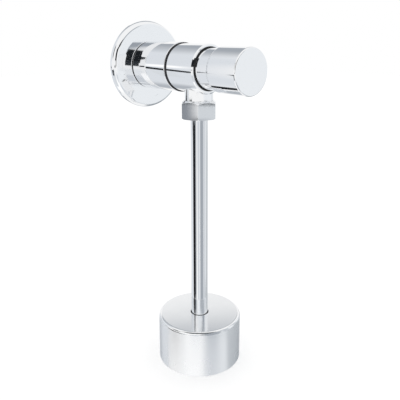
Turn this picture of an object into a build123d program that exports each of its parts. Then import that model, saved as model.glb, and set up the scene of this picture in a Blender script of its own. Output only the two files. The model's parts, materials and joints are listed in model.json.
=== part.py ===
from build123d import *
from math import cos, radians, sin
import os

# A wall mounted, self-closing urinal flush valve. The origin is on the wall, on the valve's axis.
# The valve points along -Y into the room, the flush tube hangs along -Z, and distances are from the wall.

# Wall flange, a pressed cover with a flat crown, a sloping border and a rounded rim
flange_diameter = 78.5
flange_height = 7.6
flange_crown_diameter = 58.4
flange_slope_drop = 1.9
flange_sheet = 1.2
flange_edge_radius = 2.2
flange_crown_edge_radius = 1.5
flange_hole_gap = 1.5

# Distance sleeve between the flange and the body, and the black ring in front of it
sleeve_diameter = 42.4
sleeve_length = 44.7
sleeve_wall = 1.8
sleeve_edge_radius = 0.5
ring_thickness = 1.4
ring_inset = 0.35

# Inlet connection, thread G 1/2
inlet_thread_diameter = 20.955
inlet_bore = 13.0
wall_thread_length = 15.0
wall_thread_front = 1.0
thread_relief_length = 4.0
thread_relief_depth = 1.0
thread_lead = 0.9
socket_depth = 16.8
nipple_key_width = 12.0
nipple_key_depth = 9.0
gasket_thickness = 1.8
strainer_sheet = 0.5
strainer_depth = 9.5
strainer_slots = 8
strainer_slot_width = 2.0
strainer_slot_length = 5.0

# Valve body
body_diameter = 40.4
body_length = 31.9
body_chamfer = 0.8
hub_diameter = 29.0
pilot_length = 6.0
outlet_from_back = 18.8
chamber_diameter = 27.0
chamber_length = 11.5
partition_thickness = 2.5
passage_diameter = 14.0
inlet_chamber_diameter = 19.0
inlet_chamber_length = 16.2

# Outlet boss under the body, thread G 5/8
boss_diameter = 24.3
boss_shoulder_drop = 26.2
boss_root_radius = 0.8
boss_thread_diameter = 22.9
boss_drop = 36.0
boss_bore = 13.0
boss_bore_cover = 1.7
port_diameter = 8.0
port_start_depth = 4.9
port_tilt = 35.0

# Seat ring
seat_thickness = 2.0
seat_bore = 11.0
seat_lip_height = 0.8
seat_lip_width = 1.1

# Self-closing cartridge
stroke = 7.0
cartridge_thread_diameter = 30.0
cartridge_thread_length = 6.6
cartridge_diameter = 31.2
dash_bore = 25.0
dash_back_wall = 8.0
dash_end_gap = 1.0
cylinder_cap_thread_length = 4.0
cylinder_cap_flange = 2.0
cylinder_cap_rim = 0.3
spring_guide_diameter = 13.0
spring_guide_height = 2.5
bush_diameter = 9.0
body_oring_section = 1.8
spindle_oring_section = 2.0
gland_washer_thickness = 1.6

# Spindle and what it carries
spindle_diameter = 7.0
spindle_front_diameter = 5.0
spindle_back_diameter = 4.0
piston_length = 6.0
piston_inset = 0.3
piston_groove_width = 3.0
piston_groove_depth = 2.7
clip_thickness = 0.7
clip_diameter = 9.6
clip_groove_depth = 0.5
washer_diameter = 14.8
washer_thickness = 2.0
disc_diameter = 16.4
disc_back = 2.3
disc_rim_height = 1.0
lock_nut_width = 7.0
lock_nut_height = 2.5
spindle_tail = 0.5

# Push button
button_diameter = 37.4
button_length = 45.4
button_edge_radius = 1.3
button_shoulder_length = 2.5
button_shoulder_radius = 2.0
button_neck_radius = 1.5
skirt_diameter = 34.0
skirt_visible_length = 13.4
skirt_engagement = 0.7
skirt_wall = 1.0
button_face_thickness = 3.0
insert_thickness = 6.0
insert_boss_diameter = 11.0
insert_boss_height = 5.0
spindle_end_cover = 3.0

# Return spring
spring_diameter = 18.4
spring_wire = 1.4
spring_wire_sides = 8
spring_turns = 6.0

# Coupling nut, gasket and collar of the flush tube
nut_width = 28.0
nut_height = 15.5
nut_gap = 0.2
nut_top_chamfer = 2.3
nut_bottom_chamfer = 0.8
nut_chamfer_slope = 0.65
nut_turn = 44.0
outlet_gasket_thickness = 1.5
collar_thickness = 1.5
collar_diameter = 21.6

# Flush tube
tube_diameter = 15.0
tube_wall = 1.0
tube_end_drop = 264.0

# Bell over the urinal's inlet, with its grip ring
bell_diameter = 74.7
bell_height = 42.6
bell_overhang = 1.5
bell_wall = 1.5
bell_edge_radius = 2.6
bell_inner_radius = 1.2
bell_rim_chamfer = 0.4
bell_hole_gap = 0.7
hub_outer_diameter = 25.0
hub_height = 5.2
grip_groove_diameter = 19.8
grip_groove_width = 2.4
grip_groove_top = 1.3
grip_section = 2.3

# Rubber seal that enters the urinal's inlet
seal_neck_diameter = 24.0
seal_neck_height = 6.5
seal_lip_diameter = 38.0
seal_lip_height = 2.4
seal_plug_diameter = 34.4
seal_plug_height = 13.0
seal_plug_lead = 2.2
seal_rib_count = 3
seal_rib_height = 0.6
seal_rib_width = 1.6

# Clearances
thread_clearance = 0.05
slip_clearance = 0.2
press_clearance = 0.02
running_clearance = 0.05
stop_clearance = 0.3
skirt_clearance = 0.6

# Radii that several pieces share
inlet_thread_radius = inlet_thread_diameter / 2
inlet_socket_radius = inlet_thread_radius + thread_clearance
sleeve_bore_radius = sleeve_diameter / 2 - sleeve_wall
pilot_radius = sleeve_bore_radius - slip_clearance
body_radius = body_diameter / 2
skirt_radius = skirt_diameter / 2
skirt_bore_radius = skirt_radius - skirt_wall
counterbore_radius = skirt_radius + skirt_clearance
cartridge_thread_radius = cartridge_thread_diameter / 2
cartridge_socket_radius = cartridge_thread_radius + thread_clearance
dash_radius = dash_bore / 2
spindle_radius = spindle_diameter / 2
spindle_front_radius = spindle_front_diameter / 2
spindle_back_radius = spindle_back_diameter / 2
boss_thread_radius = boss_thread_diameter / 2
tube_radius = tube_diameter / 2

# Distances from the wall, front to back along the valve's axis
flange_face = flange_height
sleeve_front = flange_face + sleeve_length
body_back = sleeve_front + ring_thickness
body_front = body_back + body_length
outlet_offset = body_back + outlet_from_back
counterbore_floor = body_front - skirt_engagement - stroke - stop_clearance
chamber_front = counterbore_floor - cartridge_thread_length
chamber_back = chamber_front - chamber_length
partition_back = chamber_back - partition_thickness
seat_back = partition_back - seat_thickness
seat_lip = seat_back - seat_lip_height
socket_floor = partition_back - inlet_chamber_length
hub_back = socket_floor - socket_depth
strainer_back = socket_floor - strainer_sheet
nipple_front = strainer_back - gasket_thickness
dash_back = chamber_front + dash_back_wall
piston_back = dash_back + dash_end_gap + stroke
piston_front = piston_back + piston_length
cylinder_cap_back = piston_front + clip_thickness + stop_clearance
cartridge_front = cylinder_cap_back + cylinder_cap_thread_length
spring_back = cartridge_front + cylinder_cap_flange
button_front = body_front + button_length
insert_front = button_front - button_face_thickness
insert_back = insert_front - insert_thickness
skirt_front = body_front + skirt_visible_length
skirt_back = body_front - skirt_engagement

# Heights along the tube's axis, as drops below the valve's axis
outlet_gasket_bottom = boss_drop + outlet_gasket_thickness
collar_bottom = outlet_gasket_bottom + collar_thickness
nut_drop = boss_shoulder_drop + nut_gap
nut_bottom = nut_drop + nut_height
bell_bottom = tube_end_drop + bell_overhang
bell_top_drop = bell_bottom - bell_height
bell_hub_bottom = bell_top_drop + bell_wall + hub_height
seal_top = bell_hub_bottom + stop_clearance
seal_lip_top = seal_top + seal_neck_height
seal_plug_top = seal_lip_top + seal_lip_height
seal_bottom = seal_plug_top + seal_plug_height

# The section plane through both axes: its first coordinate runs from the wall into the room, its second up
section_plane = Plane(origin=(0, 0, 0), x_dir=(0, -1, 0), z_dir=(-1, 0, 0))
valve_axis = Axis((0, 0, 0), (0, -1, 0))
tube_axis = Axis((0, -outlet_offset, 0), (0, 0, 1))
valve_plane = Plane(origin=(0, 0, 0), x_dir=(1, 0, 0), z_dir=(0, -1, 0))

os.makedirs("parts", exist_ok=True)


def turn_on_valve_axis(*outline, mode=Mode.ADD):
    """Turns an outline of (distance from the wall, radius) corners about the valve's axis."""
    with BuildSketch(section_plane) as section:
        with BuildLine():
            Polyline(*outline, close=True)
        make_face()
    revolve(section.sketch, axis=valve_axis, mode=mode)


def turn_on_tube_axis(*outline, mode=Mode.ADD):
    """Turns an outline of (radius, drop below the valve's axis) corners about the tube's axis."""
    corners = [(outlet_offset + radius, -drop) for radius, drop in outline]
    with BuildSketch(section_plane) as section:
        with BuildLine():
            Polyline(*corners, close=True)
        make_face()
    revolve(section.sketch, axis=tube_axis, mode=mode)


def ring_on_valve_axis(back, front, inner, outer, mode=Mode.ADD):
    """A plain ring, or a disc where the inner radius is 0."""
    turn_on_valve_axis((back, inner), (front, inner), (front, outer), (back, outer), mode=mode)


def ring_on_tube_axis(top, bottom, inner, outer, mode=Mode.ADD):
    """A plain ring about the tube's axis, from one drop to another."""
    turn_on_tube_axis((inner, top), (outer, top), (outer, bottom), (inner, bottom), mode=mode)


def valve_rims(builder, distance, radius):
    """The round edges of a piece at a distance from the wall and a radius from the valve's axis."""
    rims = builder.edges().filter_by(GeomType.CIRCLE)
    rims = rims.filter_by(lambda rim: abs(rim.arc_center.Y + distance) < 0.001)
    return rims.filter_by(lambda rim: abs(rim.radius - radius) < 0.001)


def tube_rims(builder, drop, radius):
    """The round edges of a piece at a drop below the valve's axis and a radius from the tube's axis."""
    rims = builder.edges().filter_by(GeomType.CIRCLE)
    rims = rims.filter_by(lambda rim: abs(rim.arc_center.Z + drop) < 0.001)
    return rims.filter_by(lambda rim: abs(rim.radius - radius) < 0.001)


def seal_ring(axis, centre_along, centre_radius, section_radius):
    """A round rubber ring: a circle turned about an axis."""
    if axis is valve_axis:
        centre = (centre_along, centre_radius)
    else:
        centre = (outlet_offset + centre_radius, -centre_along)
    with BuildSketch(section_plane) as section:
        with Locations(centre):
            Circle(section_radius)
    revolve(section.sketch, axis=axis)


def save(builder, name):
    """Labels a finished piece and writes it."""
    builder.part.label = name
    export_step(builder.part, f"parts/{name}.step")


# Wall flange: a pressed cover, open at the back, that the sleeve holds to the wall
flange_radius = flange_diameter / 2
flange_hole_radius = inlet_thread_radius + flange_hole_gap
crown_radius = flange_crown_diameter / 2
flange_rim_front = flange_face - flange_slope_drop
with BuildPart() as wall_flange:
    turn_on_valve_axis(
        (0, flange_hole_radius),
        (0, flange_radius),
        (flange_rim_front, flange_radius),
        (flange_face, crown_radius),
        (flange_face, flange_hole_radius),
    )
    fillet(valve_rims(wall_flange, flange_rim_front, flange_radius), flange_edge_radius)
    fillet(valve_rims(wall_flange, flange_face, crown_radius), flange_crown_edge_radius)
    turn_on_valve_axis(
        (0, flange_hole_radius),
        (0, flange_radius - flange_sheet),
        (flange_rim_front - flange_sheet, flange_radius - flange_sheet),
        (flange_face - flange_sheet, crown_radius),
        (flange_face - flange_sheet, flange_hole_radius),
        mode=Mode.SUBTRACT,
    )
    inner_corner = valve_rims(
        wall_flange, flange_rim_front - flange_sheet, flange_radius - flange_sheet
    )
    fillet(inner_corner, flange_edge_radius - flange_sheet)
save(wall_flange, "wall_flange")

# Distance sleeve over the inlet connection
with BuildPart() as sleeve:
    ring_on_valve_axis(flange_face, sleeve_front, sleeve_bore_radius, sleeve_diameter / 2)
    fillet(valve_rims(sleeve, sleeve_front, sleeve_diameter / 2), sleeve_edge_radius)
save(sleeve, "sleeve")

# Black ring between the sleeve and the body
with BuildPart() as sleeve_ring:
    ring_on_valve_axis(
        sleeve_front,
        body_back,
        pilot_radius + press_clearance,
        sleeve_diameter / 2 - ring_inset,
    )
save(sleeve_ring, "sleeve_ring")

# Inlet nipple: wall thread behind the flange, plain stem, and a thread in the body's socket
nipple_back = wall_thread_front - wall_thread_length
nipple_stem_radius = inlet_thread_radius - thread_relief_depth
with BuildPart() as inlet_nipple:
    turn_on_valve_axis(
        (nipple_back, inlet_bore / 2),
        (nipple_back, inlet_thread_radius - thread_lead),
        (nipple_back + thread_lead, inlet_thread_radius),
        (wall_thread_front, inlet_thread_radius),
        (wall_thread_front + thread_relief_depth, nipple_stem_radius),
        (hub_back - thread_relief_length - thread_relief_depth, nipple_stem_radius),
        (hub_back - thread_relief_length, inlet_thread_radius),
        (nipple_front - thread_lead, inlet_thread_radius),
        (nipple_front, inlet_thread_radius - thread_lead),
        (nipple_front, inlet_bore / 2),
    )
    with BuildSketch(valve_plane.offset(nipple_back)) as key_hole:
        RegularPolygon(nipple_key_width / 2, 6, major_radius=False)
    extrude(key_hole.sketch, amount=nipple_key_depth, mode=Mode.SUBTRACT)
save(inlet_nipple, "inlet_nipple")

# Inlet gasket and the strainer it holds against the floor of the socket
with BuildPart() as inlet_gasket:
    ring_on_valve_axis(
        nipple_front,
        strainer_back,
        inlet_bore / 2,
        inlet_thread_radius - thread_clearance,
    )
save(inlet_gasket, "inlet_gasket")

strainer_cup_radius = inlet_bore / 2 - slip_clearance
strainer_flange_radius = inlet_thread_radius - thread_clearance
strainer_floor = socket_floor - strainer_depth
with BuildPart() as inlet_strainer:
    turn_on_valve_axis(
        (strainer_floor, 0),
        (strainer_floor, strainer_cup_radius),
        (strainer_back, strainer_cup_radius),
        (strainer_back, strainer_flange_radius),
        (socket_floor, strainer_flange_radius),
        (socket_floor, strainer_cup_radius - strainer_sheet),
        (strainer_floor + strainer_sheet, strainer_cup_radius - strainer_sheet),
        (strainer_floor + strainer_sheet, 0),
    )
    slot_middle = (strainer_floor + strainer_back) / 2
    slot_turns = [360 / strainer_slots * slot for slot in range(strainer_slots)]
    for turn in slot_turns:
        slot_plane = Plane(origin=(0, -slot_middle, 0), x_dir=(0, -1, 0), z_dir=(-1, 0, 0))
        with BuildSketch(slot_plane.rotated((turn, 0, 0))) as slot:
            SlotOverall(strainer_slot_length, strainer_slot_width)
        extrude(slot.sketch, amount=strainer_cup_radius + strainer_sheet, mode=Mode.SUBTRACT)
save(inlet_strainer, "inlet_strainer")

# Valve body: hub, pilot for the sleeve, barrel, outlet boss and the bores through them
pilot_back = sleeve_front - pilot_length
boss_radius = boss_diameter / 2
boss_bore_top = counterbore_radius + boss_bore_cover
with BuildPart() as valve_body:
    turn_on_valve_axis(
        (hub_back, 0),
        (hub_back, hub_diameter / 2),
        (pilot_back, hub_diameter / 2),
        (pilot_back, pilot_radius),
        (body_back, pilot_radius),
        (body_back, body_radius),
        (body_front, body_radius),
        (body_front, 0),
    )
    chamfer(valve_rims(valve_body, body_front, body_radius), body_chamfer)
    ring_on_tube_axis(0, boss_shoulder_drop, 0, boss_radius)
    fillet(valve_body.edges().filter_by(GeomType.BSPLINE), boss_root_radius)
    ring_on_tube_axis(boss_shoulder_drop, boss_drop, 0, boss_thread_radius)
    chamfer(tube_rims(valve_body, boss_drop, boss_thread_radius), thread_lead)
    turn_on_valve_axis(
        (hub_back, 0),
        (hub_back, inlet_socket_radius),
        (socket_floor, inlet_socket_radius),
        (socket_floor, inlet_chamber_diameter / 2),
        (partition_back, inlet_chamber_diameter / 2),
        (partition_back, passage_diameter / 2),
        (chamber_back, passage_diameter / 2),
        (chamber_back, chamber_diameter / 2),
        (chamber_front, chamber_diameter / 2),
        (chamber_front, cartridge_socket_radius),
        (counterbore_floor, cartridge_socket_radius),
        (counterbore_floor, counterbore_radius),
        (body_front, counterbore_radius),
        (body_front, 0),
        mode=Mode.SUBTRACT,
    )
    ring_on_tube_axis(boss_bore_top, boss_drop, 0, boss_bore / 2, mode=Mode.SUBTRACT)
    # The port is drilled at a slant from the boss's bore into the chamber
    port_start = boss_bore_top + port_start_depth
    port_plane = Plane(
        origin=(0, -outlet_offset, -port_start),
        x_dir=(1, 0, 0),
        z_dir=Vector(0, 0, 1).rotate(Axis.X, -port_tilt),
    )
    port_rise = port_start - (chamber_diameter - port_diameter * sin(radians(port_tilt))) / 2
    with BuildSketch(port_plane) as port:
        Circle(port_diameter / 2)
    extrude(port.sketch, amount=port_rise / cos(radians(port_tilt)), mode=Mode.SUBTRACT)
save(valve_body, "valve_body")

# Seat ring in front of the inlet chamber, with a raised lip that the washer closes
seat_bore_radius = seat_bore / 2
with BuildPart() as seat_ring:
    turn_on_valve_axis(
        (partition_back, seat_bore_radius),
        (partition_back, inlet_chamber_diameter / 2 - press_clearance),
        (seat_back, inlet_chamber_diameter / 2 - press_clearance),
        (seat_back, seat_bore_radius + seat_lip_width),
        (seat_lip, seat_bore_radius + seat_lip_width),
        (seat_lip, seat_bore_radius),
    )
save(seat_ring, "seat_ring")

# Cartridge: a threaded cylinder that holds the piston, its gland and the body seal
gland_pocket_radius = spindle_radius + spindle_oring_section + running_clearance
gland_pocket_depth = gland_washer_thickness + spindle_oring_section + 2 * running_clearance
groove_width = body_oring_section + 2 * running_clearance
groove_front = counterbore_floor - stop_clearance
groove_back = groove_front - groove_width
groove_radius = cartridge_socket_radius - body_oring_section - running_clearance
spindle_hole_radius = spindle_radius + 2 * running_clearance
with BuildPart() as cartridge_housing:
    turn_on_valve_axis(
        (chamber_front, gland_pocket_radius),
        (chamber_front, cartridge_thread_radius),
        (groove_back, cartridge_thread_radius),
        (groove_back, groove_radius),
        (groove_front, groove_radius),
        (groove_front, cartridge_thread_radius),
        (counterbore_floor, cartridge_thread_radius),
        (counterbore_floor, cartridge_diameter / 2),
        (cartridge_front, cartridge_diameter / 2),
        (cartridge_front, dash_radius),
        (dash_back, dash_radius),
        (dash_back, spindle_hole_radius),
        (chamber_front + gland_pocket_depth, spindle_hole_radius),
        (chamber_front + gland_pocket_depth, gland_pocket_radius),
    )
save(cartridge_housing, "cartridge_housing")

with BuildPart() as body_oring:
    seal_ring(
        valve_axis,
        (groove_back + groove_front) / 2,
        groove_radius + running_clearance / 2 + body_oring_section / 2,
        body_oring_section / 2,
    )
save(body_oring, "body_oring")

spindle_oring_middle = chamber_front + gland_washer_thickness + spindle_oring_section / 2
with BuildPart() as spindle_oring:
    seal_ring(
        valve_axis,
        spindle_oring_middle + running_clearance,
        spindle_radius + running_clearance / 2 + spindle_oring_section / 2,
        spindle_oring_section / 2,
    )
save(spindle_oring, "spindle_oring")

with BuildPart() as gland_washer:
    ring_on_valve_axis(
        chamber_front,
        chamber_front + gland_washer_thickness,
        spindle_hole_radius,
        gland_pocket_radius - press_clearance,
    )
save(gland_washer, "gland_washer")

# Cylinder cap: closes the cartridge, guides the spindle and carries the spring
with BuildPart() as cylinder_cap:
    turn_on_valve_axis(
        (cylinder_cap_back, bush_diameter / 2),
        (cylinder_cap_back, dash_radius - thread_clearance),
        (cartridge_front, dash_radius - thread_clearance),
        (cartridge_front, cartridge_diameter / 2 - cylinder_cap_rim),
        (spring_back, cartridge_diameter / 2 - cylinder_cap_rim),
        (spring_back, spring_guide_diameter / 2),
        (spring_back + spring_guide_height, spring_guide_diameter / 2),
        (spring_back + spring_guide_height, bush_diameter / 2),
    )
save(cylinder_cap, "cylinder_cap")

with BuildPart() as guide_bush:
    ring_on_valve_axis(
        cylinder_cap_back,
        spring_back + spring_guide_height,
        spindle_front_radius + running_clearance,
        bush_diameter / 2 - press_clearance,
    )
save(guide_bush, "guide_bush")

# Spindle: from the lock nut behind the valve disc to the thread in the button's insert
lock_nut_front = seat_lip - washer_thickness - disc_back
lock_nut_back = lock_nut_front - lock_nut_height
spindle_back = lock_nut_back - spindle_tail
spindle_front = insert_front - spindle_end_cover
with BuildPart() as spindle:
    turn_on_valve_axis(
        (spindle_back, 0),
        (spindle_back, spindle_back_radius),
        (seat_lip, spindle_back_radius),
        (seat_lip, spindle_radius),
        (piston_back, spindle_radius),
        (piston_back, spindle_front_radius),
        (piston_front, spindle_front_radius),
        (piston_front, spindle_front_radius - clip_groove_depth),
        (piston_front + clip_thickness, spindle_front_radius - clip_groove_depth),
        (piston_front + clip_thickness, spindle_front_radius),
        (spindle_front, spindle_front_radius),
        (spindle_front, 0),
    )
save(spindle, "spindle")

# Piston with the groove for its lip seal, held on the spindle by a clip
piston_radius = dash_radius - piston_inset
piston_groove_back = piston_back + (piston_length - piston_groove_width) / 2
piston_groove_front = piston_groove_back + piston_groove_width
piston_groove_radius = piston_radius - piston_groove_depth
with BuildPart() as piston:
    turn_on_valve_axis(
        (piston_back, spindle_front_radius + press_clearance),
        (piston_back, piston_radius),
        (piston_groove_back, piston_radius),
        (piston_groove_back, piston_groove_radius),
        (piston_groove_front, piston_groove_radius),
        (piston_groove_front, piston_radius),
        (piston_front, piston_radius),
        (piston_front, spindle_front_radius + press_clearance),
    )
save(piston, "piston")

seal_outer_radius = dash_radius - running_clearance
with BuildPart() as piston_seal:
    ring_on_valve_axis(
        piston_groove_back,
        piston_groove_front,
        piston_groove_radius + press_clearance,
        seal_outer_radius,
    )
save(piston_seal, "piston_seal")

clip_bore_radius = spindle_front_radius - clip_groove_depth + press_clearance
with BuildPart() as piston_clip:
    with BuildSketch(valve_plane.offset(piston_front)) as clip_shape:
        Circle(clip_diameter / 2)
        Circle(clip_bore_radius, mode=Mode.SUBTRACT)
        with Locations((0, -clip_diameter / 2)):
            Rectangle(2 * clip_bore_radius, clip_diameter, mode=Mode.SUBTRACT)
    extrude(clip_shape.sketch, amount=clip_thickness)
save(piston_clip, "piston_clip")

# Valve disc, its rubber washer and the nut that clamps them to the spindle's shoulder
washer_radius = washer_diameter / 2
washer_back = seat_lip - washer_thickness
disc_bore_radius = spindle_back_radius + press_clearance
with BuildPart() as valve_disc:
    turn_on_valve_axis(
        (lock_nut_front, disc_bore_radius),
        (lock_nut_front, disc_diameter / 2),
        (washer_back + disc_rim_height, disc_diameter / 2),
        (washer_back + disc_rim_height, washer_radius + press_clearance),
        (washer_back, washer_radius + press_clearance),
        (washer_back, disc_bore_radius),
    )
save(valve_disc, "valve_disc")

with BuildPart() as valve_washer:
    ring_on_valve_axis(washer_back, seat_lip, disc_bore_radius, washer_radius)
save(valve_washer, "valve_washer")

with BuildPart() as lock_nut:
    with BuildSketch(valve_plane.offset(lock_nut_back)) as lock_nut_shape:
        RegularPolygon(lock_nut_width / 2, 6, major_radius=False)
        Circle(spindle_back_radius + press_clearance, mode=Mode.SUBTRACT)
    extrude(lock_nut_shape.sketch, amount=lock_nut_height)
save(lock_nut, "lock_nut")

# Push button: a cap whose skirt runs into the front of the body
button_radius = button_diameter / 2
button_barrel_back = skirt_front + button_shoulder_length
with BuildPart() as button_cap:
    turn_on_valve_axis(
        (skirt_back, 0),
        (skirt_back, skirt_radius),
        (skirt_front, skirt_radius),
        (button_barrel_back, button_radius),
        (button_front, button_radius),
        (button_front, 0),
    )
    fillet(valve_rims(button_cap, skirt_front, skirt_radius), button_neck_radius)
    fillet(valve_rims(button_cap, button_barrel_back, button_radius), button_shoulder_radius)
    fillet(valve_rims(button_cap, button_front, button_radius), button_edge_radius)
    ring_on_valve_axis(skirt_back, insert_front, 0, skirt_bore_radius, mode=Mode.SUBTRACT)
save(button_cap, "button_cap")

insert_bore_radius = spindle_front_radius + press_clearance
with BuildPart() as button_insert:
    turn_on_valve_axis(
        (insert_back - insert_boss_height, insert_bore_radius),
        (insert_back - insert_boss_height, insert_boss_diameter / 2),
        (insert_back, insert_boss_diameter / 2),
        (insert_back, skirt_bore_radius - press_clearance),
        (insert_front, skirt_bore_radius - press_clearance),
        (insert_front, 0),
        (spindle_front, 0),
        (spindle_front, insert_bore_radius),
    )
save(button_insert, "button_insert")

# Return spring between the cylinder cap and the button's insert; an eight-sided wire stands for the round one
spring_mean_radius = (spring_diameter - spring_wire) / 2
helix_length = insert_back - spring_back - spring_wire
with BuildPart() as return_spring:
    with BuildLine() as coil:
        Helix(
            helix_length / spring_turns,
            helix_length,
            spring_mean_radius,
            center=(0, -(spring_back + spring_wire / 2), 0),
            direction=(0, -1, 0),
        )
    with BuildSketch(Plane(coil.line @ 0, z_dir=coil.line % 0)) as wire:
        RegularPolygon(spring_wire / 2, spring_wire_sides)
    sweep(wire.sketch, path=coil.line, is_frenet=True)
save(return_spring, "return_spring")

# Outlet gasket, collar and flush tube, drawn up by the coupling nut
collar_radius = collar_diameter / 2
with BuildPart() as outlet_gasket:
    ring_on_tube_axis(boss_drop, outlet_gasket_bottom, boss_bore / 2, collar_radius)
save(outlet_gasket, "outlet_gasket")

with BuildPart() as tube_collar:
    ring_on_tube_axis(
        outlet_gasket_bottom, collar_bottom, tube_radius + press_clearance, collar_radius
    )
save(tube_collar, "tube_collar")

with BuildPart() as coupling_nut:
    with BuildSketch(Plane.XY.offset(-nut_bottom)) as nut_shape:
        with Locations((0, -outlet_offset)):
            RegularPolygon(nut_width / 2, 6, major_radius=False, rotation=nut_turn)
    extrude(nut_shape.sketch, amount=nut_height)
    # Turning takes the corners off both ends
    nut_corner_radius = nut_width / 2 / cos(radians(30))
    turn_on_tube_axis(
        (0, nut_drop),
        (nut_corner_radius - nut_top_chamfer / nut_chamfer_slope, nut_drop),
        (nut_corner_radius, nut_drop + nut_top_chamfer),
        (nut_corner_radius, nut_bottom - nut_bottom_chamfer),
        (nut_corner_radius - nut_bottom_chamfer / nut_chamfer_slope, nut_bottom),
        (0, nut_bottom),
        mode=Mode.INTERSECT,
    )
    turn_on_tube_axis(
        (0, nut_drop),
        (boss_thread_radius + thread_clearance, nut_drop),
        (boss_thread_radius + thread_clearance, collar_bottom),
        (tube_radius + slip_clearance, collar_bottom),
        (tube_radius + slip_clearance, nut_bottom),
        (0, nut_bottom),
        mode=Mode.SUBTRACT,
    )
save(coupling_nut, "coupling_nut")

with BuildPart() as flush_tube:
    ring_on_tube_axis(
        outlet_gasket_bottom, tube_end_drop, tube_radius - tube_wall, tube_radius
    )
save(flush_tube, "flush_tube")

# Rubber seal at the tube's end: neck, lip and ribbed plug
seal_bore_radius = tube_radius + press_clearance
plug_radius = seal_plug_diameter / 2
with BuildPart() as spud_seal:
    turn_on_tube_axis(
        (seal_bore_radius, seal_top),
        (seal_neck_diameter / 2, seal_top),
        (seal_neck_diameter / 2, seal_lip_top),
        (seal_lip_diameter / 2, seal_lip_top),
        (seal_lip_diameter / 2, seal_plug_top),
        (plug_radius - seal_rib_height, seal_plug_top),
        (plug_radius - seal_rib_height, seal_bottom - seal_plug_lead),
        (plug_radius - seal_rib_height - seal_plug_lead, seal_bottom),
        (seal_bore_radius, seal_bottom),
    )
    rib_pitch = (seal_plug_height - seal_plug_lead) / seal_rib_count
    for rib in range(seal_rib_count):
        rib_top = seal_plug_top + rib_pitch * rib + (rib_pitch - seal_rib_width) / 2
        turn_on_tube_axis(
            (seal_bore_radius, rib_top),
            (plug_radius, rib_top),
            (plug_radius - seal_rib_height, rib_top + seal_rib_width),
            (seal_bore_radius, rib_top + seal_rib_width),
        )
save(spud_seal, "spud_seal")

# Bell: an open shell with a hub that slides on the tube
bell_radius = bell_diameter / 2
bell_hole_radius = tube_radius + bell_hole_gap
bell_ceiling = bell_top_drop + bell_wall
groove_top = bell_top_drop + grip_groove_top + bell_wall / 2
with BuildPart() as bell_cover:
    ring_on_tube_axis(bell_top_drop, bell_bottom, 0, bell_radius)
    fillet(tube_rims(bell_cover, bell_top_drop, bell_radius), bell_edge_radius)
    turn_on_tube_axis(
        (hub_outer_diameter / 2, bell_ceiling),
        (bell_radius - bell_wall, bell_ceiling),
        (bell_radius - bell_wall, bell_bottom),
        (0, bell_bottom),
        (0, bell_hub_bottom),
        (hub_outer_diameter / 2, bell_hub_bottom),
        mode=Mode.SUBTRACT,
    )
    fillet(tube_rims(bell_cover, bell_ceiling, bell_radius - bell_wall), bell_inner_radius)
    chamfer(tube_rims(bell_cover, bell_bottom, bell_radius - bell_wall), bell_rim_chamfer)
    turn_on_tube_axis(
        (0, bell_top_drop),
        (bell_hole_radius, bell_top_drop),
        (bell_hole_radius, groove_top),
        (grip_groove_diameter / 2, groove_top),
        (grip_groove_diameter / 2, groove_top + grip_groove_width),
        (bell_hole_radius, groove_top + grip_groove_width),
        (bell_hole_radius, bell_hub_bottom),
        (0, bell_hub_bottom),
        mode=Mode.SUBTRACT,
    )
save(bell_cover, "bell_cover")

with BuildPart() as grip_ring:
    seal_ring(
        tube_axis,
        groove_top + grip_groove_width / 2,
        tube_radius + running_clearance + grip_section / 2,
        grip_section / 2,
    )
save(grip_ring, "grip_ring")
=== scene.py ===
import json
import math

import bmesh
import bpy
from mathutils import Matrix, Vector


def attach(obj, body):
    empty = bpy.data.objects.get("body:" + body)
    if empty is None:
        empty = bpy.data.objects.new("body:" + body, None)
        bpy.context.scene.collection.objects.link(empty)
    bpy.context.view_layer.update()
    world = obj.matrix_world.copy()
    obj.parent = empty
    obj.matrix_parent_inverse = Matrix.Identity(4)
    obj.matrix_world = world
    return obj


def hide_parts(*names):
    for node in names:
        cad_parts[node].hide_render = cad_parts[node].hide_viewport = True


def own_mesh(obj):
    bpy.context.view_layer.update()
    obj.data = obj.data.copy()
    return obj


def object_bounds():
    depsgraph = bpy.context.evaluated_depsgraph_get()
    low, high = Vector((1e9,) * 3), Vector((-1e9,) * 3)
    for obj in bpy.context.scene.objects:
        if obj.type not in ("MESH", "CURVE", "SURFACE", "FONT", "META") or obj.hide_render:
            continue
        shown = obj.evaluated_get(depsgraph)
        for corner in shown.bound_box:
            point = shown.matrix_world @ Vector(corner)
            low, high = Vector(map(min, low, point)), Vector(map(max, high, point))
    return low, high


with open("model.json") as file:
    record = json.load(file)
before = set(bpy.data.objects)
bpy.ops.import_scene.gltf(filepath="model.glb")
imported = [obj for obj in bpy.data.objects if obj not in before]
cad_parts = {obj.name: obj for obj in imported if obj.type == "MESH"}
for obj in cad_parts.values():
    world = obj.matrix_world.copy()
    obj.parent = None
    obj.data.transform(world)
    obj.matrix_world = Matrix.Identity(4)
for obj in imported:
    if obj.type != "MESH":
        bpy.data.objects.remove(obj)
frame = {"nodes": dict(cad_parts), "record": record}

# Dresses the solids of a wall mounted urinal flush valve: finishes, finer pieces and a studio
cad_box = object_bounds()
nodes = frame["nodes"]

# Camera: where it stands, where it looks, and its lens
camera_place = (-0.29657662, -0.39343343, 0.03037502)
camera_heading = 42.83
camera_tilt_down = 13.44
camera_roll = -0.11
camera_lens = 46.86
camera_sensor = 36.0
camera_rise = -0.1125

# Axes that pieces are turned on: a start, the way along, and the way out to the radius
mm = 0.001
tube_middle = Vector((0.0, -0.0725, 0.0))
valve_line = (Vector((0, 0, 0)), Vector((0, -1, 0)), Vector((1, 0, 0)))
tube_line = (tube_middle, Vector((0, 0, 1)), Vector((1, 0, 0)))

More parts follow.
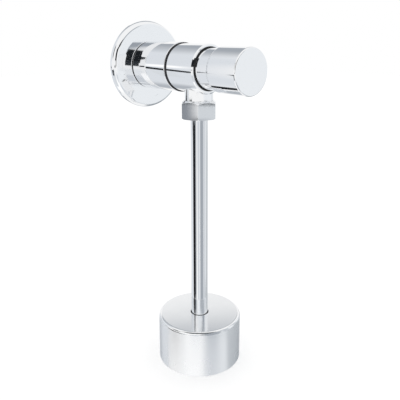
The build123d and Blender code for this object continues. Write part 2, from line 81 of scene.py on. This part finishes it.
# Modelling: gaps in metres, angles in degrees
weld_gap = 1e-7
solid_weld_gap = 2e-6
axis_gap = 1e-7
sharp_angle = 32
flat_angle = 0.6
eased_angle = 18
rounding_step = 7
least_segments = 4
easing_segments = 4

# Patterns: what the finishes are made of
noise = "ShaderNodeTexNoise"
cells = "ShaderNodeTexVoronoi"
even = (1.0, 1.0, 1.0)

# Finishes: how much finer the smears are than the clouds, and the range that most noise keeps to
cloud_detail = 4.0
smear_detail = 6.0
relief_detail = 3.0
smear_fineness = 3.1
smear_stretch = (1.0, 1.7, 0.8)
noise_low, noise_high = 0.3, 0.7

# Studio: the floor's lift is for the camera alone, so that the floor ends in the white background.
# A held panel shows as far off as its distance times the panel reach. The glossy depth of a first
# reflection is under first_bounce, and that of a second one is over it.
studio_middle = Vector((0.0, -0.07, -0.12))
floor_size = 6.0
floor_tone = 0.8
floor_lift = 0.35
ambient_level = 0.9
panel_reach = 1.3
first_bounce = 1.5


def make_camera():
    """The camera, at the photograph's viewing angle."""
    data = bpy.data.cameras.new("camera")
    data.sensor_width = camera_sensor
    data.lens = camera_lens
    data.shift_y = camera_rise
    data.clip_start = 0.01
    data.clip_end = 20.0
    camera = bpy.data.objects.new("camera", data)
    bpy.context.scene.collection.objects.link(camera)
    turn = Matrix.Rotation(math.radians(-camera_heading), 4, "Z")
    tilt = Matrix.Rotation(math.radians(90.0 - camera_tilt_down), 4, "X")
    roll = Matrix.Rotation(math.radians(camera_roll), 4, "Z")
    camera.matrix_world = Matrix.Translation(camera_place) @ turn @ tilt @ roll
    bpy.context.scene.camera = camera


def new_material(name):
    """An empty node material and its node tree."""
    material = bpy.data.materials.new(name)
    material.use_nodes = True
    tree = material.node_tree
    tree.nodes.clear()
    return material, tree


def link(tree, a, b):
    tree.links.new(a, b)


def pattern(tree, kind, scale, detail, stretch=even):
    """A noise or cell pattern that is fixed to the piece, stretched along its axes."""
    place = tree.nodes.new("ShaderNodeTexCoord")
    fit = tree.nodes.new("ShaderNodeMapping")
    fit.inputs["Scale"].default_value = stretch
    link(tree, place.outputs["Object"], fit.inputs["Vector"])
    grain = tree.nodes.new(kind)
    grain.inputs["Scale"].default_value = scale
    if "Detail" in grain.inputs:
        grain.inputs["Detail"].default_value = detail
    link(tree, fit.outputs["Vector"], grain.inputs["Vector"])
    return grain.outputs["Fac" if "Fac" in grain.outputs else "Distance"]


def ranged(tree, source, low, high, start=0.0, end=1.0):
    """The source spread from low to high."""
    spread = tree.nodes.new("ShaderNodeMapRange")
    spread.inputs["From Min"].default_value = start
    spread.inputs["From Max"].default_value = end
    spread.inputs["To Min"].default_value = low
    spread.inputs["To Max"].default_value = high
    link(tree, source, spread.inputs["Value"])
    return spread.outputs["Result"]


def summed(tree, first, second):
    """Two heights or values added."""
    both = tree.nodes.new("ShaderNodeMath")
    both.operation = "ADD"
    link(tree, first, both.inputs[0])
    link(tree, second, both.inputs[1])
    return both.outputs["Value"]


def tinted(tree, source, low, high):
    """A colour that drifts from low to high with the source."""
    blend = tree.nodes.new("ShaderNodeMix")
    blend.data_type = "RGBA"
    factor, first, second = blend.inputs[0], blend.inputs[6], blend.inputs[7]
    link(tree, source, factor)
    first.default_value = (*low, 1.0)
    second.default_value = (*high, 1.0)
    return blend.outputs[2]


def finish(name, metallic, colours, gloss, heights, depth, specular=0.5, rougher_below=None):
    """A surface: two colours it drifts between, its roughness range and its fine relief.

    Gloss is the least and most roughness and the scale of the clouds between them. Each height is
    a pattern, its scale, its share of the relief and its stretch. Below a level, the surface may
    turn rougher: where that starts and ends, and by how much.
    """
    smoothest, roughest, cloud_scale = gloss
    material, tree = new_material(name)
    output = tree.nodes.new("ShaderNodeOutputMaterial")
    shader = tree.nodes.new("ShaderNodeBsdfPrincipled")
    shader.inputs["Metallic"].default_value = metallic
    shader.inputs["Specular IOR Level"].default_value = specular
    clouds = pattern(tree, noise, cloud_scale, cloud_detail)
    link(tree, tinted(tree, clouds, *colours), shader.inputs["Base Color"])
    smears = pattern(tree, noise, cloud_scale * smear_fineness, smear_detail, smear_stretch)
    marks = summed(
        tree,
        ranged(tree, clouds, 0.0, 0.5, noise_low, noise_high),
        ranged(tree, smears, 0.0, 0.5, noise_low, noise_high),
    )
    roughness = ranged(tree, marks, smoothest, roughest)
    if rougher_below:
        top, bottom, more = rougher_below
        place = tree.nodes.new("ShaderNodeTexCoord")
        parts = tree.nodes.new("ShaderNodeSeparateXYZ")
        link(tree, place.outputs["Object"], parts.inputs["Vector"])
        added = ranged(tree, parts.outputs["Z"], 0.0, more, top, bottom)
        roughness = summed(tree, roughness, added)
    link(tree, roughness, shader.inputs["Roughness"])
    relief = None
    for kind, scale, share, stretch in heights:
        layer = ranged(tree, pattern(tree, kind, scale, relief_detail, stretch), 0.0, share)
        relief = layer if relief is None else summed(tree, relief, layer)
    dents = tree.nodes.new("ShaderNodeBump")
    dents.inputs["Strength"].default_value = 1.0
    dents.inputs["Distance"].default_value = depth
    link(tree, relief, dents.inputs["Height"])
    link(tree, dents.outputs["Normal"], shader.inputs["Normal"])
    link(tree, shader.outputs["BSDF"], output.inputs["Surface"])
    return material


def measured(node, line):
    """A solid's two ends along a line and its least and most radius, to 0.01 mm."""
    start, along, _ = line
    places = [vert.co - start for vert in nodes[node].data.vertices]
    ends = [place.dot(along) for place in places]
    radii = [place.cross(along).length for place in places]
    return [round(size / mm, 2) for size in (min(ends), max(ends), min(radii), max(radii))]


def merge_and_smooth(shape, name, body, material):
    """The finished piece: joined seams, normals outward, flat faces kept flat."""
    bmesh.ops.remove_doubles(shape, verts=shape.verts, dist=weld_gap)
    bmesh.ops.recalc_face_normals(shape, faces=shape.faces)
    for face in shape.faces:
        face.smooth = True
    mesh = bpy.data.meshes.new(name)
    shape.to_mesh(mesh)
    shape.free()
    mesh.set_sharp_from_angle(angle=math.radians(sharp_angle))
    mesh.materials.append(material)
    piece = bpy.data.objects.new(name, mesh)
    bpy.context.scene.collection.objects.link(piece)
    even_shade = piece.modifiers.new("flat_faces", "WEIGHTED_NORMAL")
    even_shade.keep_sharp = True
    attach(piece, body)
    return piece


def turned(name, body, material, line, corners, replaces=None, steps=144):
    """A lathe-turned piece from its outline's corners, each rounded by its own radius.

    A corner is its distance along the line, its radius and its rounding, in millimetres. A piece
    that replaces a solid hides that solid.
    """
    start, along, across = line
    shape = bmesh.new()
    rim = []
    for distance, radius, _ in corners:
        rim.append(shape.verts.new(start + along * distance * mm + across * radius * mm))
    shape.faces.new(rim)
    places = [vert.co.copy() for vert in rim]
    for number, (_, _, rounding) in enumerate(corners):
        if rounding:
            before = (places[number] - places[number - 1]).normalized()
            after = (places[(number + 1) % len(places)] - places[number]).normalized()
            turn = before.angle(after)
            bmesh.ops.bevel(
                shape,
                geom=[rim[number]],
                offset=rounding * mm * math.tan(turn / 2),
                offset_type="OFFSET",
                segments=max(least_segments, round(math.degrees(turn) / rounding_step)),
                profile=0.5,
                affect="VERTICES",
                material=-1,
            )
    bmesh.ops.delete(shape, geom=shape.faces[:], context="FACES_ONLY")
    on_axis = [
        edge
        for edge in shape.edges
        if all((vert.co - start).cross(along).length < axis_gap for vert in edge.verts)
    ]
    bmesh.ops.delete(shape, geom=on_axis, context="EDGES")
    bmesh.ops.spin(
        shape,
        geom=shape.verts[:] + shape.edges[:],
        cent=start,
        axis=along,
        dvec=(0, 0, 0),
        angle=math.tau,
        steps=steps,
        use_merge=True,
        use_duplicate=False,
    )
    piece = merge_and_smooth(shape, name, body, material)
    if replaces:
        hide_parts(replaces)
    return piece


def eased_copy(node, name, body, material, ease):
    """A copy of a solid's mesh, with its sharp edges eased if ease is above 0."""
    shape = bmesh.new()
    shape.from_mesh(nodes[node].data)
    bmesh.ops.remove_doubles(shape, verts=shape.verts, dist=solid_weld_gap)
    if ease:
        bmesh.ops.dissolve_limit(
            shape, angle_limit=math.radians(flat_angle), verts=shape.verts, edges=shape.edges
        )
        corners = [
            edge
            for edge in shape.edges
            if len(edge.link_faces) == 2 and edge.calc_face_angle() > math.radians(eased_angle)
        ]
        bmesh.ops.bevel(
            shape,
            geom=corners,
            offset=ease * mm,
            offset_type="OFFSET",
            segments=easing_segments,
            profile=0.5,
            affect="EDGES",
            clamp_overlap=True,
            material=-1,
        )
    piece = merge_and_smooth(shape, name, body, material)
    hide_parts(node)
    return piece


def glow_with_soft_edges(name, tone, feather_across, feather_up, reach, second):
    """A card's light, which fades out towards its edges.

    A reach, in metres, keeps it to the front of the card and to the piece that it is for. With
    second, it shows only where one polished surface is seen in another.
    """
    material, tree = new_material(name)
    output = tree.nodes.new("ShaderNodeOutputMaterial")
    light = tree.nodes.new("ShaderNodeEmission")
    brightest = max(tone)
    light.inputs["Color"].default_value = (*[level / brightest for level in tone], 1.0)
    light.inputs["Strength"].default_value = brightest
    clear = tree.nodes.new("ShaderNodeBsdfTransparent")
    place = tree.nodes.new("ShaderNodeTexCoord")
    parts = tree.nodes.new("ShaderNodeSeparateXYZ")
    link(tree, place.outputs["UV"], parts.inputs["Vector"])
    fades = []
    for along, feather in (("X", feather_across), ("Y", feather_up)):
        fold = tree.nodes.new("ShaderNodeMath")
        fold.operation = "PINGPONG"
        fold.inputs[1].default_value = 0.5
        link(tree, parts.outputs[along], fold.inputs[0])
        fade = tree.nodes.new("ShaderNodeMapRange")
        fade.interpolation_type = "SMOOTHSTEP"
        fade.inputs["From Max"].default_value = feather
        link(tree, fold.outputs[0], fade.inputs["Value"])
        fades.append(fade.outputs["Result"])
    cover = tree.nodes.new("ShaderNodeMath")
    cover.operation = "MULTIPLY"
    link(tree, fades[0], cover.inputs[0])
    link(tree, fades[1], cover.inputs[1])
    mixed = tree.nodes.new("ShaderNodeMixShader")
    if reach:
        path = tree.nodes.new("ShaderNodeLightPath")
        side = tree.nodes.new("ShaderNodeNewGeometry")
        depth_test = "GREATER_THAN" if second else "LESS_THAN"
        tests = (
            (path.outputs["Glossy Depth"], depth_test, first_bounce),
            (path.outputs["Ray Length"], "LESS_THAN", reach),
            (side.outputs["Backfacing"], "LESS_THAN", 0.5),
        )
        for value, test, limit in tests:
            within = tree.nodes.new("ShaderNodeMath")
            within.operation = test
            within.inputs[1].default_value = limit
            link(tree, value, within.inputs[0])
            held = tree.nodes.new("ShaderNodeMath")
            held.operation = "MULTIPLY"
            link(tree, cover.outputs["Value"], held.inputs[0])
            link(tree, within.outputs["Value"], held.inputs[1])
            cover = held
    link(tree, cover.outputs["Value"], mixed.inputs["Fac"])
    link(tree, clear.outputs["BSDF"], mixed.inputs[1])
    link(tree, light.outputs["Emission"], mixed.inputs[2])
    link(tree, mixed.outputs["Shader"], output.inputs["Surface"])
    return material


def hang(name, centre, way, size, tone, feather, tilt=0.0, reach=None, second=False):
    """Hangs a studio card that only the polished surfaces see; its size is half across, half up."""
    half_width, half_height = size
    shape = bmesh.new()
    shape.loops.layers.uv.new("UVMap")
    bmesh.ops.create_grid(shape, x_segments=1, y_segments=1, size=1.0, calc_uvs=True)
    bmesh.ops.scale(shape, vec=(half_width, half_height, 1.0), verts=shape.verts)
    mesh = bpy.data.meshes.new(name)
    shape.to_mesh(mesh)
    shape.free()
    mesh.materials.append(glow_with_soft_edges(name, tone, *feather, reach, second))
    card = bpy.data.objects.new(name, mesh)
    bpy.context.scene.collection.objects.link(card)
    facing = (-way).to_track_quat("Z", "Y").to_matrix().to_4x4()
    spin = Matrix.Rotation(math.radians(tilt), 4, "Z")
    card.matrix_world = Matrix.Translation(centre) @ facing @ spin
    card.visible_camera = False
    card.visible_diffuse = False
    card.visible_shadow = False


def compass(azimuth, elevation=0.0):
    """The direction at an azimuth from straight in front of the wall, and an elevation."""
    a, e = math.radians(azimuth), math.radians(elevation)
    return Vector((math.sin(a) * math.cos(e), -math.cos(a) * math.cos(e), math.sin(e)))


def far_card(name, azimuth, elevation, width, height, tone, feather, distance, tilt=0.0):
    """A card far off, its width and height given as the angles that it fills."""
    way = compass(azimuth, elevation)
    half_width = distance * math.tan(math.radians(width / 2))
    half_height = distance * math.tan(math.radians(height / 2))
    centre = studio_middle + way * distance
    hang(name, centre, way, (half_width, half_height), tone, feather, tilt)


def near_panel(name, azimuths, distance, heights, tone, feather, held=True, second=False):
    """An upright panel at a distance from the tube, between two azimuths and two heights.

    A held panel shows in first reflections alone, or with second in second ones, and not far off.
    """
    way = compass(sum(azimuths) / 2)
    centre = tube_middle + way * distance + Vector((0.0, 0.0, sum(heights) / 2))
    half_width = distance * math.tan(math.radians((azimuths[1] - azimuths[0]) / 2))
    half_height = (heights[0] - heights[1]) / 2
    reach = panel_reach * distance if held else None
    hang(name, centre, way, (half_width, half_height), tone, feather, reach=reach, second=second)


def make_world():
    """White all round, at a plain level for matt surfaces."""
    world = bpy.data.worlds.new("studio")
    world.use_nodes = True
    tree = world.node_tree
    tree.nodes.clear()
    output = tree.nodes.new("ShaderNodeOutputWorld")
    light = tree.nodes.new("ShaderNodeBackground")
    light.inputs["Color"].default_value = (1.0, 1.0, 1.0, 1.0)
    path = tree.nodes.new("ShaderNodeLightPath")
    seen = path.outputs["Is Camera Ray"]
    for kind in ("Is Glossy Ray", "Is Transmission Ray"):
        either = tree.nodes.new("ShaderNodeMath")
        either.operation = "MAXIMUM"
        link(tree, seen, either.inputs[0])
        link(tree, path.outputs[kind], either.inputs[1])
        seen = either.outputs["Value"]
    link(tree, ranged(tree, seen, ambient_level, 1.0), light.inputs["Strength"])
    link(tree, light.outputs["Background"], output.inputs["Surface"])
    bpy.context.scene.world = world


def make_floor():
    """A plain white floor that keeps the soft shadow."""
    low, _ = cad_box
    shape = bmesh.new()
    bmesh.ops.create_grid(shape, x_segments=1, y_segments=1, size=floor_size / 2)
    bmesh.ops.translate(shape, vec=(0, 0, low.z), verts=shape.verts)
    mesh = bpy.data.meshes.new("floor")
    shape.to_mesh(mesh)
    shape.free()
    floor = bpy.data.objects.new("floor", mesh)
    bpy.context.scene.collection.objects.link(floor)
    material, tree = new_material("floor_white")
    output = tree.nodes.new("ShaderNodeOutputMaterial")
    matt = tree.nodes.new("ShaderNodeBsdfDiffuse")
    matt.inputs["Color"].default_value = (floor_tone, floor_tone, floor_tone, 1.0)
    glow = tree.nodes.new("ShaderNodeEmission")
    path = tree.nodes.new("ShaderNodeLightPath")
    lift = tree.nodes.new("ShaderNodeMath")
    lift.operation = "MULTIPLY"
    lift.inputs[1].default_value = floor_lift
    link(tree, path.outputs["Is Camera Ray"], lift.inputs[0])
    link(tree, lift.outputs[0], glow.inputs["Strength"])
    both = tree.nodes.new("ShaderNodeAddShader")
    link(tree, matt.outputs["BSDF"], both.inputs[0])
    link(tree, glow.outputs["Emission"], both.inputs[1])
    link(tree, both.outputs["Shader"], output.inputs["Surface"])
    mesh.materials.append(material)
    floor.visible_glossy = False


chrome = finish(
    "polished_chrome",
    1.0,
    ((0.885, 0.893, 0.905), (0.91, 0.915, 0.922)),
    (0.02, 0.07, 38.0),
    ((noise, 90.0, 0.7, even), (noise, 420.0, 0.3, even)),
    0.0000025,
)
flange_chrome = finish(
    "pressed_chrome",
    1.0,
    ((0.875, 0.885, 0.90), (0.905, 0.912, 0.92)),
    (0.035, 0.075, 24.0),
    ((noise, 60.0, 0.7, even), (noise, 300.0, 0.3, even)),
    0.000003,
)
nut_chrome = finish(
    "milled_chrome",
    1.0,
    ((0.86, 0.87, 0.885), (0.90, 0.908, 0.918)),
    (0.05, 0.09, 90.0),
    ((noise, 500.0, 0.7, (1.0, 1.0, 0.15)), (noise, 160.0, 0.3, even)),
    0.000002,
)
satin = finish(
    "satin_chrome",
    1.0,
    ((0.885, 0.893, 0.902), (0.91, 0.916, 0.923)),
    (0.12, 0.16, 22.0),
    ((noise, 1500.0, 0.7, (0.5, 0.5, 2.0)), (noise, 90.0, 0.3, even)),
    0.0000012,
    rougher_below=(-0.2235, -0.2265, 0.14),
)
brass = finish(
    "turned_brass",
    1.0,
    ((0.80, 0.62, 0.32), (0.86, 0.70, 0.42)),
    (0.22, 0.34, 60.0),
    ((noise, 900.0, 0.8, (0.2, 4.0, 0.2)), (noise, 140.0, 0.2, even)),
    0.00002,
)
stainless = finish(
    "stainless_steel",
    1.0,
    ((0.60, 0.60, 0.59), (0.68, 0.675, 0.665)),
    (0.18, 0.30, 60.0),
    ((noise, 1400.0, 0.8, (0.3, 3.0, 0.3)), (noise, 200.0, 0.2, even)),
    0.00001,
)
black_plastic = finish(
    "black_plastic",
    0.0,
    ((0.010, 0.010, 0.011), (0.016, 0.016, 0.018)),
    (0.32, 0.45, 80.0),
    ((noise, 1500.0, 1.0, even),),
    0.000012,
    specular=0.4,
)
rubber = finish(
    "black_rubber",
    0.0,
    ((0.016, 0.016, 0.017), (0.028, 0.028, 0.029)),
    (0.55, 0.75, 70.0),
    ((noise, 900.0, 0.7, even), (cells, 500.0, 0.3, even)),
    0.00003,
    specular=0.35,
)
fibre = finish(
    "pressed_fibre",
    0.0,
    ((0.10, 0.085, 0.07), (0.17, 0.14, 0.11)),
    (0.75, 0.92, 90.0),
    ((noise, 700.0, 0.6, (1.0, 1.0, 4.0)), (noise, 2200.0, 0.4, even)),
    0.00006,
    specular=0.3,
)

finish_of = {
    "polished_chrome": chrome,
    "satin_chrome": satin,
    "brass": brass,
    "stainless": stainless,
    "black_rubber": rubber,
    "fibre": fibre,
}
slot_of = {part["node"]: part["material_slot"] for part in frame["record"]["subparts"]}
for node, slot in slot_of.items():
    nodes[node].data.materials.clear()
    nodes[node].data.materials.append(finish_of[slot])
# The ring in front of the sleeve is a harder and smoother black than the seals
nodes["sleeve_ring"].data.materials.clear()
nodes["sleeve_ring"].data.materials.append(black_plastic)

bpy.context.scene.view_settings.view_transform = "Standard"
make_camera()
make_world()
make_floor()

# Turned pieces, in millimetres. Ends, holes and outer radii are measured on the solids. A corner is
# its distance along the line, its radius and its rounding.

# Flange: a pressed sheet with a flat crown, a sloping border and a rounded rim
flange_back, flange_front, flange_hole, flange_radius = measured("wall_flange", valve_line)
flange_sheet = 1.2
flange_slope = 1.9
flange_slope_behind = 1.8
flange_crown = 29.2
flange_crown_behind = 29.0
flange_inside = flange_front - flange_sheet
turned(
    "pressed_flange",
    "valve",
    flange_chrome,
    valve_line,
    (
        (flange_back, flange_radius - flange_sheet, 0.0),
        (flange_back, flange_radius, 0.2),
        (flange_front - flange_slope, flange_radius, 4.6),
        (flange_front, flange_crown, 9.0),
        (flange_front, flange_hole, 0.3),
        (flange_inside, flange_hole, 0.3),
        (flange_inside, flange_crown_behind, 4.0),
        (flange_inside - flange_slope_behind, flange_radius - flange_sheet, 3.4),
    ),
    replaces="wall_flange",
)

# Sleeve, which ends on a thin black rubber ring on the flange; the ring is painted shade, a dark
# stand-in for the shadow line where the sleeve meets the flange
sleeve_back, sleeve_front, sleeve_bore, sleeve_radius = measured("sleeve", valve_line)
shade_ring_thickness = 1.0
shade_ring_inset = 0.3
shade_ring_radius = sleeve_radius - shade_ring_inset
shade_ring_front = sleeve_back + shade_ring_thickness
turned(
    "sleeve_tube",
    "valve",
    chrome,
    valve_line,
    (
        (shade_ring_front, sleeve_bore, 0.2),
        (shade_ring_front, sleeve_radius, 0.45),
        (sleeve_front, sleeve_radius, 0.5),
        (sleeve_front, sleeve_bore, 0.2),
    ),
    replaces="sleeve",
)
# Painted shade: a black rubber ring at the sleeve's back, put there for the dark line against the
# flange
turned(
    "flange_shade_ring",
    "valve",
    rubber,
    valve_line,
    (
        (sleeve_back, sleeve_bore, 0.0),
        (sleeve_back, shade_ring_radius, 0.2),
        (shade_ring_front, shade_ring_radius, 0.2),
        (shade_ring_front, sleeve_bore, 0.0),
    ),
)

# Black rubber lip in the body's mouth, put there as painted shade for the dark gap round the skirt,
# with its corners measured from the body's front and from the skirt
_, body_front, _, _ = measured("valve_body", valve_line)
skirt_radius = 17.0
shade_lip_corners = (
    (-1.4, 0.08, 0.0),
    (-1.4, 0.55, 0.0),
    (0.05, 0.55, 0.0),
    (0.05, 1.3, 0.1),
    (0.3, 1.0, 0.1),
    (0.4, 0.4, 0.1),
    (0.2, 0.08, 0.1),
)
# Painted shade: the black lip stands in for the shadow in the gap between the body's mouth and the
# skirt
turned(
    "mouth_shade_lip",
    "valve",
    rubber,
    valve_line,
    [
        (body_front + forward, skirt_radius + outward, rounding)
        for forward, outward, rounding in shade_lip_corners
    ],
)

# Push button: a skirt that runs into the body, a shoulder and a flat face
button_back, button_front, _, button_radius = measured("button_cap", valve_line)
skirt_wall = 1.0
skirt_bore = skirt_radius - skirt_wall
skirt_shown = 13.4
skirt_front = body_front + skirt_shown
shoulder_length = 2.5
face_thickness = 3.0
turned(
    "button_shell",
    "button",
    chrome,
    valve_line,
    (
        (button_back, skirt_bore, 0.2),
        (button_back, skirt_radius, 0.3),
        (skirt_front, skirt_radius, 1.5),
        (skirt_front + shoulder_length, button_radius, 1.6),
        (button_front, button_radius, 1.3),
        (button_front, 0.0, 0.0),
        (button_front - face_thickness, 0.0, 0.0),
        (button_front - face_thickness, skirt_bore, 0.5),
    ),
    replaces="button_cap",
)

# Bell: a thin shell with a hub round the tube, and a groove in the hub for the grip ring
bell_bottom, bell_top, bell_hole, bell_radius = measured("bell_cover", tube_line)
bell_wall = 1.5
bell_rim_height = 0.4
bell_rim_width = 0.35
bell_ceiling = bell_top - bell_wall
hub_radius = 12.5
hub_height = 5.2
hub_bottom = bell_ceiling - hub_height
groove_radius = 9.9
groove_width = 2.4
groove_below_top = 2.05
groove_top = bell_top - groove_below_top
groove_bottom = groove_top - groove_width
turned(
    "satin_bell",
    "bell",
    satin,
    tube_line,
    (
        (bell_top, bell_hole, 0.35),
        (bell_top, bell_radius, 2.7),
        (bell_bottom, bell_radius, 0.5),
        (bell_bottom, bell_radius - bell_wall + bell_rim_width, 0.2),
        (bell_bottom + bell_rim_height, bell_radius - bell_wall, 0.1),
        (bell_ceiling, bell_radius - bell_wall, 1.2),
        (bell_ceiling, hub_radius, 0.6),
        (hub_bottom, hub_radius, 0.3),
        (hub_bottom, bell_hole, 0.2),
        (groove_bottom, bell_hole, 0.0),
        (groove_bottom, groove_radius, 0.0),
        (groove_top, groove_radius, 0.0),
        (groove_top, bell_hole, 0.0),
    ),
    replaces="bell_cover",
    steps=192,
)

# Coupling nut: the solid's own shape with its edges eased
nut_easing = 0.4
eased_copy("coupling_nut", "union_nut", "valve", nut_chrome, nut_easing)

# Return spring: a plain copy of the solid, with a mesh of its own
spring = eased_copy("return_spring", "coil_spring", "valve", stainless, 0)
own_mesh(spring)

# Flush tube
tube_bottom, tube_top, tube_bore, tube_radius = measured("flush_tube", tube_line)
turned(
    "chrome_tube",
    "valve",
    chrome,
    tube_line,
    (
        (tube_top, tube_bore, 0.1),
        (tube_top, tube_radius, 0.1),
        (tube_bottom, tube_radius, 0.35),
        (tube_bottom, tube_bore, 0.35),
    ),
    replaces="flush_tube",
)

# Studio cards, which only polished surfaces see. Azimuth 0 is straight in front of the wall and
# 90 is to the right. Heights and distances are in metres, and heights are from the valve's axis.
# A feather is the share of a card that each edge's fade takes, across and up.
black = (0.015, 0.017, 0.02)
near_black = (0.05, 0.05, 0.06)
bright = (1.15, 1.15, 1.15)
bell_bright = (1.13, 1.13, 1.13)

# Name, azimuth, elevation, width and height in degrees, tone, feather, distance, tilt
far_cards = (
    ("front_white", 43, -8, 120, 110, (0.90, 0.925, 0.95), (0.3, 0.3), 3.9),
    ("rear_left_grey", -160, 0, 66, 110, (0.77, 0.80, 0.84), (0.25, 0.25), 3.4),
    ("rear_top_grey", 148, 45, 84, 31, (0.40, 0.43, 0.47), (0.45, 0.07), 3.31),
    ("rear_low_grey", 157, -38, 56, 24, (0.47, 0.50, 0.54), (0.35, 0.35), 3.32),
    ("rear_low_line", 177, -46, 20, 10, black, (0.12, 0.2), 2.4),
    ("rear_low_line_start", -151, -45, 14, 5, black, (0.2, 0.2), 2.4),
    ("streak", -141.4, -5.2, 13, 4.6, black, (0.15, 0.15), 2.42, 50),
    ("streak_light", -141, 5, 9, 10, bright, (0.4, 0.4), 2.5),
    ("streak_again", -57, -1.2, 24, 6, near_black, (0.3, 0.2), 2.45),
    ("nut_edge_flag", -112, 28, 24, 34, (0.08, 0.09, 0.10), (0.3, 0.3), 2.5),
    ("upper_flag", -42.3, 21.5, 29, 27, black, (0.07, 0.10), 2.6),
    ("upper_flag_foot", -34, 6, 14, 18, (0.03, 0.035, 0.04), (0.2, 0.2), 2.61),
    ("upper_flag_arm", -22, 32, 30, 15, black, (0.12, 0.12), 2.62),
    ("upper_grey", 12, 33, 44, 18, (0.38, 0.41, 0.45), (0.25, 0.25), 2.9),
    ("low_grey", -10, -34, 60, 26, (0.70, 0.73, 0.77), (0.45, 0.3), 3.05),
    ("bell_key", -78, -46, 116, 44, bell_bright, (0.3, 0.3), 2.92),
    ("bell_front", 20, -50, 80, 24, (0.74, 0.77, 0.80), (0.4, 0.3), 3.0),
    ("bell_right", 92, -46, 60, 36, (0.30, 0.33, 0.36), (0.4, 0.3), 2.95),
    ("right_dark_grey", 74, -22, 14, 40, (0.43, 0.46, 0.49), (0.3, 0.3), 3.12),
    ("right_grey", 98, -22, 44, 40, (0.57, 0.60, 0.63), (0.3, 0.3), 3.2),
    ("boss_edge_flag", -166, -5.2, 26, 5, black, (0.1, 0.2), 2.41),
)
for card in far_cards:
    far_card(*card)

# Name, azimuths, distance, heights, tone, feather, held
near_panels = (
    ("right_light", (46, 62), 0.15, (-0.066, -0.296), (0.60, 0.63, 0.66), (0.3, 0.008)),
    ("side_flag", (-134.0, -93), 2.4, (-0.435, -1.58), black, (0.03, 0.01)),
    ("nut_line", (-124, -99), 0.248, (-0.0555, -0.0612), (0.02, 0.03, 0.03), (0.05, 0.2)),
    ("nut_line_again", (-2, 26), 0.248, (-0.0575, -0.0632), (0.10, 0.11, 0.12), (0.1, 0.2)),
    ("nut_flag", (-119, -104.4), 0.249, (-0.0600, -0.090), (0.28, 0.30, 0.33), (0.38, 0.04)),
    ("side_grey", (-96, -78), 2.41, (-0.435, -1.58), (0.42, 0.45, 0.48), (0.4, 0.01)),
    ("left_grey", (-70, -36), 0.20, (-0.0745, -0.324), (0.68, 0.71, 0.75), (0.3, 0.008)),
    ("front_grey", (-36, 14), 0.16, (-0.066, -0.301), (0.39, 0.42, 0.46), (0.2, 0.008)),
    ("front_light", (14, 33), 0.155, (-0.066, -0.298), (0.57, 0.60, 0.64), (0.15, 0.008)),
    ("foot_fill", (-75, 1), 0.21, (-0.057, -0.15), (0.9, 0.92, 0.94), (0.1, 0.1), False),
    ("bell_shade", (8, 125), 0.5, (-0.44, -0.72), (0.50, 0.53, 0.56), (0.45, 0.25)),
    ("nut_light", (2, 24), 0.249, (-0.0625, -0.086), (0.70, 0.73, 0.76), (0.3, 0.1)),
)
for panel in near_panels:
    near_panel(*panel)

# What the bell's top mirrors back into the foot of the tube: name, azimuths, tone
foot_distance = 0.10
foot_heights = (-0.168, -0.200)
foot_feather = (0.1, 0.05)
foot_panels = (
    ("foot_flag", (-134, -93), black),
    ("foot_side_grey", (-96, -78), (0.45, 0.48, 0.51)),
    ("foot_left_grey", (-70, -38), (0.98, 1.0, 1.03)),
    ("foot_front_grey", (-36, 14), (0.48, 0.51, 0.55)),
    ("foot_front_light", (14, 33), (0.61, 0.64, 0.68)),
    ("foot_right_light", (46, 62), (0.64, 0.67, 0.70)),
    ("foot_dark_grey", (67, 81), (0.46, 0.49, 0.52)),
    ("foot_right_grey", (81, 120), (0.61, 0.64, 0.67)),
)
for name, azimuths, tone in foot_panels:
    near_panel(name, azimuths, foot_distance, foot_heights, tone, foot_feather, second=True)

# Small cards for one rim each: name, centre, way, half sizes, tone, feather, tilt, reach
rim_cards = (
    (
        "rim_shield",
        Vector((-0.06, 0.004, -0.032)),
        Vector((-1, 0, 0)),
        (0.018, 0.016),
        (0.74, 0.77, 0.80),
        (0.1, 0.1),
    ),
    (
        "rim_line",
        Vector((-0.0374, -0.1125, -0.1883)),
        compass(-43, 88),
        (0.045, 0.018),
        (0.10, 0.11, 0.12),
        (0.25, 0.1),
        0.0,
        0.06,
    ),
    (
        "rim_light",
        Vector((-0.0527, -0.1047, -0.2133)),
        compass(-45, 22),
        (0.022, 0.009),
        (1.1, 1.1, 1.1),
        (0.1, 0.1),
        0.0,
        0.042,
    ),
)
for card in rim_cards:
    hang(*card)
